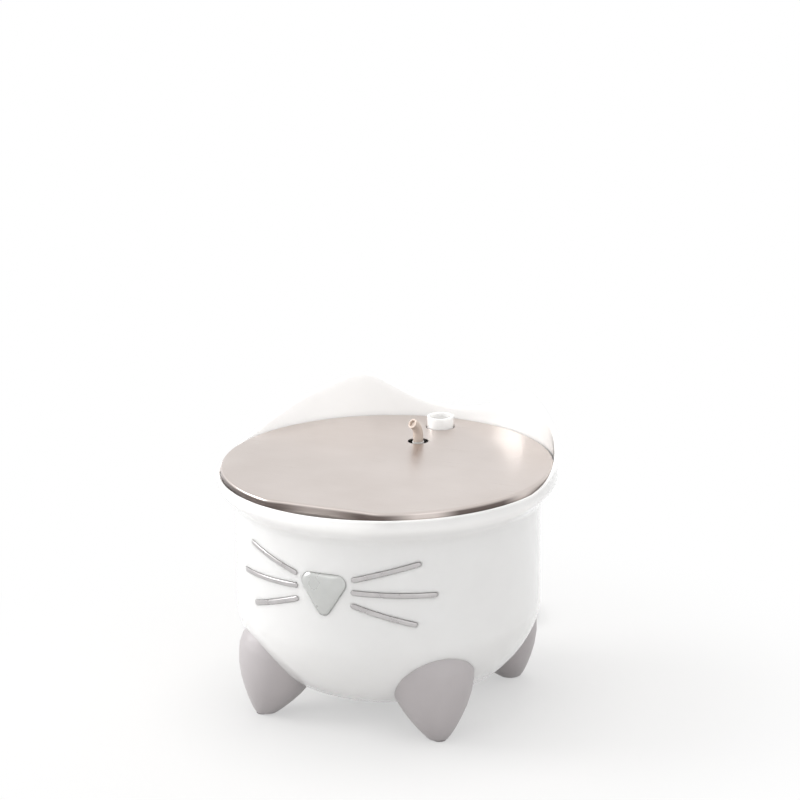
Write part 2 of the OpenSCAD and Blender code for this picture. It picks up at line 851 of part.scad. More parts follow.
module plug_body() {
  color("#8f8d8b") plug_frame() {
    translate([4, -7.8, 0]) cube([21, 15.6, plug_h]);
    translate([0, 0, plug_at[2]]) rotate([0, 90, 0]) cylinder(r1 = cord_r + 0.2, r2 = 3.4, h = 5);
  }
}

module plug_shell() {
  color("#c6c8cb") plug_frame() difference() {
    translate([25, -6, 1.5]) cube([12, 12, 4.6]);
    translate([26, -5.6, 3.9]) cube([12, 11.2, 1.8]);
  }
}

bowl();
foot(foot_angles[0]);  // foot_front_left
foot(foot_angles[1]);  // foot_front_right
foot(foot_angles[2]);  // foot_rear_left
foot(foot_angles[3]);  // foot_rear_right
foot_pads();
foot_screws();
nose_cover();
whisker(0);  // whisker_right_upper
whisker(1);  // whisker_right_middle
whisker(2);  // whisker_right_lower
whisker(3);  // whisker_left_upper
whisker(4);  // whisker_left_middle
whisker(5);  // whisker_left_lower
cord_bush();
inner_lead();
outer_cord();
cord_coil();
cord_tail();
plug_body();
plug_shell();
cover();
steel_plate();
spout_sleeve();
spout_tip();
filter_tray();
filter_pouch();
filter_felt();
carbon_fill();
resin_fill();
pump_housing();
pump_volute();
pump_intake();
pump_stator();
pump_shaft();
impeller();
flow_knob();
level_led();
light_sensor();
pump_gland();
riser_tube();
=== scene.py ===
import math

import bmesh
import bpy
from mathutils import Matrix, Vector
from mathutils.geometry import convex_hull_2d


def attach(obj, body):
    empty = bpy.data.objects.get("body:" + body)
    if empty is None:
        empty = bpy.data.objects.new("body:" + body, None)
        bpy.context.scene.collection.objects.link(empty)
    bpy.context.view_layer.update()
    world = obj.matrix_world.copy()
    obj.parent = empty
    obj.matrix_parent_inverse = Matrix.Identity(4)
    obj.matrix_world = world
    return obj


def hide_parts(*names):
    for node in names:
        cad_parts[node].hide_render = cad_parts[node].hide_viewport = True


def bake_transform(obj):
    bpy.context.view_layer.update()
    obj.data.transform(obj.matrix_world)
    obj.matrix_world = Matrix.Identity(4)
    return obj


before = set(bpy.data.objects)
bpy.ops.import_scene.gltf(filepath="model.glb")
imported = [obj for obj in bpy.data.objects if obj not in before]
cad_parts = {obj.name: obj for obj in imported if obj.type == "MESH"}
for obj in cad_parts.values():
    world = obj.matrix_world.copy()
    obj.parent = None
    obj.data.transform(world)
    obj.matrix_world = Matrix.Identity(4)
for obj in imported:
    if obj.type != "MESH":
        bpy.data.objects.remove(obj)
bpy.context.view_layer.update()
print("frame loaded:", len(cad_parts), "solids")


# Colours, nodes and materials

def hexColour(code):
    parts = [int(code[i:i + 2], 16) / 255 for i in (1, 3, 5)]
    linear = [c / 12.92 if c <= 0.04045 else ((c + 0.055) / 1.055) ** 2.4 for c in parts]
    return (*linear, 1.0)


def addNode(tree, kind, inputs=None, **settings):
    node = tree.nodes.new(kind)
    for key, value in settings.items():
        setattr(node, key, value)
    for key, value in (inputs or {}).items():
        if isinstance(value, bpy.types.NodeSocket):
            tree.links.new(value, node.inputs[key])
        else:
            node.inputs[key].default_value = value
    return node


def startMaterial(name):
    material = bpy.data.materials.new(name)
    material.use_nodes = True
    tree = material.node_tree
    tree.nodes.clear()
    place = addNode(tree, "ShaderNodeTexCoord").outputs["Object"]
    return material, tree, place


def loose(name, data):
    piece = bpy.data.objects.new(name, data)
    bpy.context.scene.collection.objects.link(piece)
    return piece


def endMaterial(tree, shader):
    addNode(tree, "ShaderNodeOutputMaterial", {"Surface": shader.outputs[0]})


# The end of a material whose surface has relief, given in mm
def endRelief(tree, height, relief, inputs):
    bump = addNode(tree, "ShaderNodeBump", {"Height": height, "Distance": relief / 1000})
    endMaterial(tree, addNode(tree, "ShaderNodeBsdfPrincipled", {
        "Normal": bump.outputs["Normal"], **inputs}))


def twoTones(tree, factor, dark, light, low=0.3, high=0.7):
    ramp = addNode(tree, "ShaderNodeValToRGB", {"Fac": factor})
    ramp.color_ramp.elements[0].position = low
    ramp.color_ramp.elements[0].color = hexColour(dark)
    ramp.color_ramp.elements[1].position = high
    ramp.color_ramp.elements[1].color = hexColour(light)
    return ramp.outputs["Color"]


# A moulded plastic or rubber: clouds of slightly other tone and gloss, and the fine grain of the mould.
# tones are its dark and light shade, gloss its least and greatest roughness, grain and relief in mm, milk the
# share of light that passes under its skin and how many metres deep
def mouldedFinish(name, tones, gloss, grain, relief, cloud=45, milk=(0, 0), **shaderInputs):
    material, tree, place = startMaterial(name)
    clouds = addNode(tree, "ShaderNodeTexNoise", {"Vector": place, "Scale": 1000 / cloud, "Detail": 4.0})
    fine = addNode(tree, "ShaderNodeTexNoise", {"Vector": place, "Scale": 1000 / grain, "Detail": 2.0})
    rough = addNode(tree, "ShaderNodeMapRange", {
        "Value": clouds.outputs["Fac"], "From Min": 0.3, "From Max": 0.7,
        "To Min": gloss[0], "To Max": gloss[1]})
    endRelief(tree, fine.outputs["Fac"], relief, {
        "Base Color": twoTones(tree, clouds.outputs["Fac"], *tones), "Roughness": rough.outputs["Result"],
        "Subsurface Radius": (1, 1, 1), "Subsurface Weight": milk[0], "Subsurface Scale": milk[1],
        **shaderInputs})
    return material


# Injection-moulded ABS, polished tool: an even gloss white, a little warm, with faint flow clouds
glossAbs = (("#f3f2f0", "#f8f7f5"), (0.14, 0.2), 1.4, 0.004)
glossCoat = {"IOR": 1.53, "Coat Weight": 1.0, "Coat Roughness": 0.1, "Coat IOR": 1.5, "milk": (0.8, 0.009)}
whiteAbs = mouldedFinish("gloss white ABS", *glossAbs, **glossCoat)
# Spark-eroded ABS: a satin warm grey with a soft sheen and no sharp reflection
greyAbs = mouldedFinish("satin grey ABS", ("#a9a4a5", "#b2adae"), (0.36, 0.46), 0.9, 0.03, IOR=1.53)
# Lacquered ABS, silver: a pale satin metal effect that goes dark and light with what it mirrors
silverLacquer = mouldedFinish("silver lacquer on ABS", ("#bcbdbb", "#c8c9c7"), (0.24, 0.32), 0.8, 0.01,
                              cloud=20, IOR=1.5, Metallic=0.55)
# Brushed and lacquered trim: it mirrors what stands around it, softly
whiskerTrim = mouldedFinish("brushed trim", ("#b9b6b6", "#c6c3c3"), (0.26, 0.34), 0.6, 0.01,
                            cloud=8, Metallic=0.85)
# Polypropylene, lightly frosted: milky, warm, with a dull sheen
milkyPp = mouldedFinish("frosted polypropylene", ("#e6e2df", "#eeebe8"), (0.3, 0.42), 1.2, 0.015,
                        milk=(0.2, 0.004), IOR=1.49)
# ABS with fine erosion, off-white: the warm putty tone of the pump's body
pumpAbs = mouldedFinish("satin putty ABS", ("#dcd5d0", "#e3ddd8"), (0.34, 0.46), 0.8, 0.02,
                        cloud=25, IOR=1.53)
# Thermoplastic elastomer, beige: soft, matt, slightly clouded
beigeTpe = mouldedFinish("beige soft elastomer", ("#bfb0a5", "#cdbfb4"), (0.5, 0.62), 0.9, 0.03,
                         cloud=14, milk=(0.15, 0.002), IOR=1.48)
# PVC jacket of a lead: matt grey with the drag marks of its die
greyPvc = mouldedFinish("grey PVC jacket", ("#9f9d9b", "#aaa8a6"), (0.42, 0.55), 0.7, 0.02,
                        cloud=12, IOR=1.53)
# PVC overmould of the plug: the lead's grey, a shade darker
plugPvc = mouldedFinish("grey PVC overmould", ("#918f8d", "#9b9997"), (0.4, 0.52), 0.7, 0.02,
                        cloud=10, IOR=1.53)
# Nickel plate on steel sheet: bright, faintly wiped
nickel = mouldedFinish("nickel-plated shell", ("#c2c3c5", "#cfd0d1"), (0.16, 0.28), 0.5, 0.002,
                       cloud=6, Metallic=1.0)
# Soft EVA rubber: dull dark grey with a skin of fine pores
padRubber = mouldedFinish("grey EVA rubber", ("#7f7b7b", "#8b8787"), (0.7, 0.82), 0.5, 0.05, cloud=8)
# Zinc-plated screw steel: greyish, rubbed at the recess
screwZinc = mouldedFinish("zinc-plated steel", ("#8c8e92", "#a1a3a6"), (0.3, 0.42), 0.4, 0.01,
                          cloud=3, Metallic=1.0)
# Extruded polypropylene tube: milky, with light passing softly through its wall
tubePp = mouldedFinish("milky polypropylene tube", ("#f1f0ee", "#f8f7f5"), (0.3, 0.42), 1.0, 0.01,
                       cloud=16, milk=(0.5, 0.005), IOR=1.42)
# Polycarbonate sleeve: light grey, slightly clear, with a smooth sheen
sleevePc = mouldedFinish("clear grey polycarbonate", ("#e2dfdb", "#eae8e4"), (0.2, 0.3), 1.0, 0.006,
                         cloud=6, **{"IOR": 1.45, "Transmission Weight": 0.15})
# ABS of the knob: the putty of the pump, greyer
knobAbs = mouldedFinish("satin grey knob ABS", ("#aaa39f", "#b6afab"), (0.36, 0.48), 0.6, 0.02, cloud=6)
# Acrylic lens over the lamp: deep gloss red, lit a little from within
redAcrylic = mouldedFinish("red acrylic lens", ("#bb1f19", "#cf2a20"), (0.08, 0.14), 0.8, 0.002, cloud=2,
                           **{"IOR": 1.49, "Emission Color": hexColour("#ff2a1c"), "Emission Strength": 0.12})
# Light sensor's window: a dusty pink-grey diffuser
sensorWindow = mouldedFinish("diffuser polycarbonate", ("#c9b4ae", "#d6c4bf"), (0.3, 0.4), 0.5, 0.004,
                             cloud=2, IOR=1.58)
# Varnished winding and laminations: brown and patchy
varnish = mouldedFinish("varnished laminations", ("#6c5237", "#8e6f4a"), (0.35, 0.55), 0.5, 0.05, cloud=3)
# Thermoplastic elastomer, white: the bush is matt, in nearly the bowl's tone
whiteTpe = mouldedFinish("white soft elastomer", ("#e6e4e2", "#efedeb"), (0.5, 0.6), 0.8, 0.02, cloud=10,
                         IOR=1.48)
# Aluminium oxide shaft: off-white, polished
ceramic = mouldedFinish("polished ceramic", ("#e0ded8", "#ebe9e3"), (0.12, 0.2), 0.6, 0.002, cloud=4,
                        IOR=1.76)
# Ferrite-filled rotor plastic: near black, slightly speckled
rotorFerrite = mouldedFinish("ferrite-filled plastic", ("#34363b", "#43464b"), (0.4, 0.52), 0.4, 0.02,
                             cloud=2)


# The cover's ABS is the bowl's, with painted shade on the skirt outside its rim: a greyer tone that stands in
# for the shade there
def coverFinish():
    # the grey of the painted shade on the skirt, and the heights and radii where it fades in
    paintedSkirtShade = {"tone": "#c2bbb9", "top": (166.5, 166.2), "inside": (103.4, 103.8)}
    material = mouldedFinish("gloss white ABS, painted skirt shade", *glossAbs, **glossCoat)
    tree = material.node_tree
    place = addNode(tree, "ShaderNodeTexCoord").outputs["Object"]
    apart = addNode(tree, "ShaderNodeSeparateXYZ", {"Vector": place})
    level = addNode(tree, "ShaderNodeVectorMath", {0: place, 1: (1, 1, 0)}, operation="MULTIPLY")
    away = addNode(tree, "ShaderNodeVectorMath", {0: level.outputs["Vector"]}, operation="LENGTH")
    below = addNode(tree, "ShaderNodeMapRange", {
        "Value": apart.outputs["Z"], "From Min": paintedSkirtShade["top"][0] / 1000, "From Max": paintedSkirtShade["top"][1] / 1000})
    outside = addNode(tree, "ShaderNodeMapRange", {
        "Value": away.outputs["Value"], "From Min": paintedSkirtShade["inside"][0] / 1000,
        "From Max": paintedSkirtShade["inside"][1] / 1000})
    share = addNode(tree, "ShaderNodeMath", {0: below.outputs["Result"], 1: outside.outputs["Result"]},
                    operation="MULTIPLY")
    shader = next(node for node in tree.nodes if node.type == "BSDF_PRINCIPLED")
    # painted shade: below the top and outside the rim, the skirt's colour is mixed towards grey
    colour = addNode(tree, "ShaderNodeMix", {
        0: share.outputs[0], 6: shader.inputs["Base Color"].links[0].from_socket,
        7: hexColour(paintedSkirtShade["tone"])}, data_type="RGBA")
    tree.links.new(colour.outputs[2], shader.inputs["Base Color"])
    return material


# Stainless sheet, wiped and passivated: warm grey with hair-fine brush lines along X, 0.5 mm apart. Below its
# top the edge is painted dark in patches, a painted reflection of dark surroundings and painted shade
def brushedSheet():
    brush = {"line": 0.5, "run": 60, "relief": 0.0022, "cloud": 14.0, "gloss": (0.27, 0.35),
             "sheet": ("#cfc5bf", "#dad1cc"), "edge": ("#6a605c", "#d6ccc7"), "paintedEdgeTop": 167.2,
             "paintedEdgeLow": 165.6, "patch": 70}
    material, tree, place = startMaterial("brushed stainless sheet")
    along = addNode(tree, "ShaderNodeMapping", {
        "Vector": place, "Scale": (1000 / brush["run"], 1000 / brush["line"], 1000 / brush["line"])})
    lines = addNode(tree, "ShaderNodeTexNoise", {
        "Vector": along.outputs["Vector"], "Scale": 1.0, "Detail": 3.0})
    clouds = addNode(tree, "ShaderNodeTexNoise", {"Vector": place, "Scale": brush["cloud"], "Detail": 3.0})
    rough = addNode(tree, "ShaderNodeMapRange", {
        "Value": lines.outputs["Fac"], "From Min": 0.25, "From Max": 0.75,
        "To Min": brush["gloss"][0], "To Max": brush["gloss"][1]})
    apart = addNode(tree, "ShaderNodeSeparateXYZ", {"Vector": place})
    # painted reflection and shade: below the top, the edge turns to the dark, patchy edge tones
    edge = addNode(tree, "ShaderNodeMapRange", {
        "Value": apart.outputs["Z"], "From Min": brush["paintedEdgeTop"] / 1000,
        "From Max": brush["paintedEdgeLow"] / 1000})
    patches = addNode(tree, "ShaderNodeTexNoise", {
        "Vector": place, "Scale": 1000 / brush["patch"], "Detail": 1.0})
    colour = addNode(tree, "ShaderNodeMix", {
        0: edge.outputs["Result"],
        6: twoTones(tree, clouds.outputs["Fac"], *brush["sheet"]),
        7: twoTones(tree, patches.outputs["Fac"], *brush["edge"], 0.42, 0.6)},
        data_type="RGBA")
    endRelief(tree, lines.outputs["Fac"], brush["relief"], {
        "Base Color": colour.outputs[2], "Roughness": rough.outputs["Result"], "Metallic": 1.0,
        "Anisotropic": 0.35})
    return material


# 1 over the carbon, in the left front quarter, and behind it as much as behind says; edge in mm
def overCarbon(tree, apart, middle, edge, behind, blend):
    left = addNode(tree, "ShaderNodeMapRange", {
        "Value": apart.outputs["X"], "From Min": -edge / 1000, "From Max": edge / 1000,
        "To Min": 1.0, "To Max": 0.0}, interpolation_type=blend)
    front = addNode(tree, "ShaderNodeMapRange", {
        "Value": apart.outputs["Y"], "From Min": (middle - edge) / 1000, "From Max": (middle + edge) / 1000,
        "To Min": 1.0, "To Max": behind}, interpolation_type=blend)
    shade = addNode(tree, "ShaderNodeMath", {0: left.outputs["Result"], 1: front.outputs["Result"]},
                    operation="MULTIPLY")
    return shade.outputs["Value"]


# Needle-punched polyester felt: crossing fibres about 1 mm apart, beige, greyer over the carbon
def feltFinish(middle):
    felt = {"fibre": 1.1, "thin": 9, "relief": 0.16, "warm": ("#ac9a89", "#bbaa9b"),
            "grey": ("#9c9187", "#b0a59b"), "edge": 10, "behind": 0.35, "patches": 1.7}
    material, tree, place = startMaterial("needle-punched felt")
    layers = []
    for turn in (0.4, 1.9):
        laid = addNode(tree, "ShaderNodeMapping", {
            "Vector": place, "Rotation": (0, 0, turn),
            "Scale": (1000 / felt["thin"], 1000 / felt["fibre"], 1000 / felt["fibre"])})
        layers.append(addNode(tree, "ShaderNodeTexNoise", {
            "Vector": laid.outputs["Vector"], "Scale": 1.0, "Detail": 3.0, "Distortion": 0.6}))
    fibres = addNode(tree, "ShaderNodeMath", {0: layers[0].outputs["Fac"], 1: layers[1].outputs["Fac"]},
                     operation="MAXIMUM")
    apart = addNode(tree, "ShaderNodeSeparateXYZ", {"Vector": place})
    cloud = addNode(tree, "ShaderNodeTexNoise", {"Vector": place, "Scale": 60.0, "Detail": 4.0})
    shade = overCarbon(tree, apart, middle, felt["edge"], felt["behind"], "SMOOTHSTEP")
    patchy = addNode(tree, "ShaderNodeMath", {0: shade, 1: cloud.outputs["Fac"]}, operation="MULTIPLY")
    doubled = addNode(tree, "ShaderNodeMath", {0: patchy.outputs["Value"], 1: felt["patches"]},
                      operation="MULTIPLY", use_clamp=True)
    colour = addNode(tree, "ShaderNodeMix", {
        0: doubled.outputs["Value"],
        6: twoTones(tree, fibres.outputs["Value"], *felt["warm"], 0.4, 0.75),
        7: twoTones(tree, fibres.outputs["Value"], *felt["grey"], 0.4, 0.75)}, data_type="RGBA")
    endRelief(tree, fibres.outputs["Value"], felt["relief"], {
        "Base Color": colour.outputs[2], "Roughness": 0.9, "Sheen Weight": 0.35, "Sheen Roughness": 0.5})
    return material


# Spun-bonded film of the filter's pouch: thin, so that the grains under it show as specks 2 mm apart
def pouchFinish(middle):
    film = {"speck": 2.2, "fold": 9, "relief": 0.25, "resin": ("#d4ae93", "#e2c9b5"),
            "carbon": ("#9d9289", "#b8ada3"), "bare": "#e6d3c3", "edge": 1.5, "lip": 0.7, "flange": 131.6}
    material, tree, place = startMaterial("spun-bonded film over grains")
    apart = addNode(tree, "ShaderNodeSeparateXYZ", {"Vector": place})
    specks = addNode(tree, "ShaderNodeTexVoronoi", {"Vector": place, "Scale": 1000 / film["speck"]})
    folds = addNode(tree, "ShaderNodeTexNoise", {
        "Vector": place, "Scale": 1000 / film["fold"], "Detail": 5.0, "Distortion": 0.8})
    grains = addNode(tree, "ShaderNodeMix", {
        0: overCarbon(tree, apart, middle, film["edge"], 0.0, "LINEAR"),
        6: twoTones(tree, specks.outputs["Distance"], *film["resin"], 0.05, 0.7),
        7: twoTones(tree, specks.outputs["Distance"], *film["carbon"], 0.1, 0.8)}, data_type="RGBA")
    rim = addNode(tree, "ShaderNodeMapRange", {
        "Value": apart.outputs["Z"], "From Min": (film["flange"] - film["lip"]) / 1000,
        "From Max": film["flange"] / 1000, "To Max": 0.8})
    colour = addNode(tree, "ShaderNodeMix", {
        0: rim.outputs["Result"], 6: grains.outputs[2], 7: hexColour(film["bare"])}, data_type="RGBA")
    relief = addNode(tree, "ShaderNodeMath", {0: specks.outputs["Distance"], 1: folds.outputs["Fac"]},
                     operation="MULTIPLY")
    endRelief(tree, relief.outputs["Value"], film["relief"], {
        "Base Color": colour.outputs[2], "Roughness": 0.5, "Sheen Weight": 0.2, "Alpha": 0.94})
    return material


# Activated carbon and ion-exchange resin: loose grains, each of its own shade
def grainFinish(name, tones, gloss, shade=1.6):
    material, tree, place = startMaterial(name)
    shades = addNode(tree, "ShaderNodeTexVoronoi", {"Vector": place, "Scale": 1000 / shade})
    shader = addNode(tree, "ShaderNodeBsdfPrincipled", {
        "Base Color": twoTones(tree, shades.outputs["Distance"], *tones, 0.1, 0.6), "Roughness": gloss})
    endMaterial(tree, shader)
    return material


coverAbs = coverFinish()
steelSheet = brushedSheet()
carbonGrain = grainFinish("activated carbon", ("#3b3734", "#6d655f"), 0.65)
resinGrain = grainFinish("ion-exchange resin", ("#c98457", "#e9b58c"), 0.3)
print("materials made")


# Making meshes, in millimetres

def meshFrom(name, points, faces):
    build = bmesh.new()
    corners = [build.verts.new(Vector(point) / 1000) for point in points]
    for face in faces:
        build.faces.new([corners[i] for i in face])
    bmesh.ops.recalc_face_normals(build, faces=build.faces)
    mesh = bpy.data.meshes.new(name)
    build.to_mesh(mesh)
    build.free()
    return mesh


# Angles all round, starting at 0
def allRound(count):
    return [2 * math.pi * k / count for k in range(count)]


# Skin over rings of equal count: joined end to start when looped, otherwise capped at both ends
def ringMesh(name, rings, looped=False):
    count = len(rings[0])
    points = [point for ring in rings for point in ring]
    faces = []
    last = len(rings) if looped else len(rings) - 1
    for i in range(last):
        here, there = i * count, (i + 1) % len(rings) * count
        for k in range(count):
            m = (k + 1) % count
            faces.append((here + k, here + m, there + m, there + k))
    if not looped:
        for start in (0, (len(rings) - 1) * count):
            middle = sum((Vector(points[start + k]) for k in range(count)), Vector()) / count
            points.append(middle)
            for k in range(count):
                faces.append((start + k, start + (k + 1) % count, len(points) - 1))
    return meshFrom(name, points, faces)


def turned(profile, centre=(0, 0), count=64):
    x, y = centre
    return [[(x + radius * math.sin(a), y + radius * math.cos(a), height) for a in allRound(count)]
            for radius, height in profile]


def smoothed(mesh, angle=35):
    mesh.polygons.foreach_set("use_smooth", [True] * len(mesh.polygons))
    mesh.set_sharp_from_angle(angle=math.radians(angle))
    mesh.update()


# angle is where an edge turns sharp; None keeps the mesh's own normals
def placed(name, mesh, body, material, replaced=(), angle=35):
    piece = loose(name, mesh)
    mesh.materials.clear()
    mesh.materials.append(material)
    if angle is not None:
        smoothed(mesh, angle)
    if body:
        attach(piece, body)
    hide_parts(*replaced)
    return piece


# A piece's mesh with its modifiers used up
def settled(piece):
    graph = bpy.context.evaluated_depsgraph_get()
    return bpy.data.meshes.new_from_object(piece.evaluated_get(graph))


def carved(mesh, cutters):
    body = loose("uncut", mesh)
    tools = [loose("cutter", cutter) for cutter in cutters]
    for tool in tools:
        cut = body.modifiers.new("cut", "BOOLEAN")
        cut.operation = "DIFFERENCE"
        cut.solver = "EXACT"
        cut.object = tool
    result = settled(body)
    for piece in [body, *tools]:
        bpy.data.objects.remove(piece)
    return result


def joined(name, meshes):
    build = bmesh.new()
    for mesh in meshes:
        build.from_mesh(mesh)
    mesh = bpy.data.meshes.new(name)
    build.to_mesh(mesh)
    build.free()
    return mesh


# A merged copy of a solid
def mergedCopy(node):
    build = bmesh.new()
    build.from_mesh(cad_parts[node].data)
    bmesh.ops.remove_doubles(build, verts=build.verts, dist=2e-6)
    return build


# A merged copy of a solid with its edges rounded by a small bevel
def softened(node, edge, angle=38):
    build = mergedCopy(node)
    bmesh.ops.dissolve_limit(build, angle_limit=math.radians(0.4), verts=build.verts, edges=build.edges)
    mesh = bpy.data.meshes.new("merged")
    build.to_mesh(mesh)
    build.free()
    piece = loose("merged", mesh)
    bevel = piece.modifiers.new("edges", "BEVEL")
    bevel.width = edge / 1000
    bevel.segments = 3
    bevel.limit_method = "ANGLE"
    bevel.angle_limit = math.radians(angle)
    bevel.use_clamp_overlap = True
    even = piece.modifiers.new("normals", "WEIGHTED_NORMAL")
    even.keep_sharp = False
    even.weight = 90
    mesh.polygons.foreach_set("use_smooth", [True] * len(mesh.polygons))
    result = settled(piece)
    bpy.data.objects.remove(piece)
    return result


# Smooth line through points, with steps points for each stretch
def curveThrough(points, steps):
    line = []
    for i in range(len(points) - 1):
        a, b, c, d = (Vector(points[max(0, min(len(points) - 1, i + k))]) for k in (-1, 0, 1, 2))
        for step in range(steps):
            t = step / steps
            line.append(0.5 * (2 * b + (c - a) * t + (2 * a - 5 * b + 4 * c - d) * t * t
                               + (3 * b - a - 3 * c + d) * t ** 3))
    line.append(Vector(points[-1]))
    return line


# Evens out a line's bends; its two points at each end stay
def eased(line, rounds):
    line = list(line)
    for turn in range(rounds):
        middles = [line[i] * 0.5 + (line[i - 1] + line[i + 1]) * 0.25 for i in range(2, len(line) - 2)]
        line = line[:2] + middles + line[-2:]
    return line


def sweptTube(name, line, radius, sides=14):
    rings = []
    side = None
    for i, point in enumerate(line):
        ahead = (line[min(i + 1, len(line) - 1)] - line[max(i - 1, 0)]).normalized()
        if side is None:
            side = ahead.orthogonal().normalized()
        side = (side - ahead * side.dot(ahead)).normalized()
        up = ahead.cross(side)
        rings.append([point + radius * (math.cos(a) * side + math.sin(a) * up) for a in allRound(sides)])
    return ringMesh(name, rings)


# Camera: a long lens from the front right, a little above, with a slight roll
view = {"lens": 157.5, "place": (941.4, -2062.6, 875.4), "turn": 24.3, "dip": 16.325, "roll": 0.7}


def makeCamera():
    data = bpy.data.cameras.new("camera")
    data.lens = view["lens"]
    data.sensor_width = 36
    data.clip_start, data.clip_end = 0.1, 60
    camera = loose("camera", data)
    turn, dip, roll = (math.radians(view[key]) for key in ("turn", "dip", "roll"))
    right = Vector((math.cos(turn), math.sin(turn), 0))
    ahead = Vector((-math.sin(turn) * math.cos(dip), math.cos(turn) * math.cos(dip), -math.sin(dip)))
    up = right.cross(ahead)
    across = right * math.cos(roll) - up * math.sin(roll)
    upward = right * math.sin(roll) + up * math.cos(roll)
    axes = Matrix((across, upward, -ahead)).transposed().to_4x4()
    camera.matrix_world = Matrix.Translation(Vector(view["place"]) / 1000) @ axes
    bpy.context.scene.camera = camera


makeCamera()


# Cords: the inner lead from the pump to the bush, and the outer lead with its coil and plug
cord = {"radius": 2.1, "coilAt": (0, 172), "widest": 33.5, "narrowest": 16.7, "turns": 4, "steps": 30,
        "climb": 0.4, "down": 0.5, "floor": 2.2, "leaves": 36.8, "between": 5, "easing": 15}
innerRoute = [
    (-13.5, 14.2, 60.6), (-19.5, 5.6, 61.5), (-29, -6, 70.5), (-39.5, -15.5, 88), (-50, -22.5, 107),
    (-61, -27, 119), (-73, -23, 121.5), (-82, -13, 125), (-90, -3.5, 131), (-99.8, 0, 134)]
outerRoute = [
    (-115, 0, 134), (-118.5, 5, 131), (-119.5, 14, 120), (-116.5, 26, 104), (-110.5, 40, 80),
    (-104, 54, 52), (-96, 71, 26), (-86, 90, 8), (-72, 108, 2.8), (-56, 122, 2.3), (-40, 132, 2.2),
    (-22, 137.4, 2.2)]
tailRoute = [(-12, 206.4, 2.2), (-23, 202.0, 2.4), (-33, 196.7, 2.9), (-44, 194.1, 3.5), (-56, 196, 3.8)]


# The coil winds inwards on the floor, steps up, winds outwards on top and comes down outside
def coilLine():
    steps, pitch = cord["steps"], 2 * cord["radius"]
    climb, upper, down = cord["climb"], cord["turns"] - cord["climb"], cord["down"]
    parts = [(cord["turns"], cord["widest"], cord["narrowest"], 0, 0),
             (climb, cord["narrowest"], cord["narrowest"], 0, 1),
             (upper, cord["narrowest"], cord["narrowest"] + pitch * upper, 1, 1),
             (down, cord["narrowest"] + pitch * upper, cord["leaves"], 1, 0)]
    line, done = [], 0
    for turns, first, last, low, high in parts:
        count = round(turns * steps)
        for step in range(count):
            share = step / count
            ease = share * share * (3 - 2 * share)
            swing = 2 * math.pi * (done + turns * share) - math.pi / 2
            radius = first + (last - first) * (math.sin(share * math.pi / 2) if high < low else share)
            line.append(Vector((cord["coilAt"][0] + radius * math.cos(swing),
                                cord["coilAt"][1] + radius * math.sin(swing),
                                cord["floor"] + pitch * (low + (high - low) * ease))))
        done += turns
    return line


def lengthOf(line):
    return sum((line[i + 1] - line[i]).length for i in range(len(line) - 1)) / 1000


def makeInnerLead():
    line = eased(curveThrough(innerRoute, cord["between"]), cord["easing"])
    mesh = sweptTube("innerLead", line, cord["radius"])
    lead = placed("innerLead", mesh, None, greyPvc, ["inner_lead"])
    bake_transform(lead)


# A strap of hook tape round the coil's section, on the side away from the bowl
def makeTie():
    tie = {"angle": 60, "wide": 7, "thick": 0.7, "inside": 14.2, "outside": 36.4, "top": 8.8, "corner": 1.6,
           "low": (0.12, 0.02)}
    swing = math.radians(tie["angle"])
    out = Vector((math.cos(swing), math.sin(swing), 0))
    side = Vector((-math.sin(swing), math.cos(swing), 0))
    centre = Vector((*cord["coilAt"], 0))
    section = []
    for grow, low in zip((0, tie["thick"]), tie["low"]):
        loop, r = [], tie["corner"] + grow
        near, far = tie["inside"] - grow + r, tie["outside"] + grow - r
        foot, top = low + r, tie["top"] + grow - r
        for x, z, turn in ((far, top, 0), (near, top, 90), (near, foot, 180), (far, foot, 270)):
            for k in range(5):
                a = math.radians(turn + 22.5 * k)
                loop.append((x + r * math.cos(a), z + r * math.sin(a)))
        section.append(loop)
    rings = []
    for across, loop in ((-1, 0), (1, 0), (1, 1), (-1, 1)):
        rings.append([centre + out * u + Vector((0, 0, v)) + side * across * tie["wide"] / 2
                      for u, v in section[loop]])
    return placed("cordTie", ringMesh("cordTie", rings, True), "bowl", padRubber)


def makeOuterLead():
    coil = coilLine()
    route = curveThrough([*outerRoute, tuple(coil[0])], cord["between"])[:-1]
    tail = curveThrough([tuple(coil[-1]), *tailRoute], cord["between"])[1:]
    line = route + coil + tail
    mesh = sweptTube("outerLead", line, cord["radius"], 12)
    lead = placed("outerLead", mesh, "bowl", greyPvc,
                  ["outer_cord", "cord_coil", "cord_tail"])
    moulding = softened("plug_body", 0.8)
    for point in moulding.vertices:
        point.co.z = max(point.co.z, 0.0001)  # its rounded edges stay off the floor
    plug = placed("plugBody", moulding, "bowl", plugPvc, ["plug_body"])
    shell = placed("plugShell", softened("plug_shell", 0.15), "bowl", nickel, ["plug_shell"])
    tie = makeTie()
    print("outer lead:", round(lengthOf(line), 3), "m")


makeInnerLead()
makeOuterLead()
print("camera and cords made")


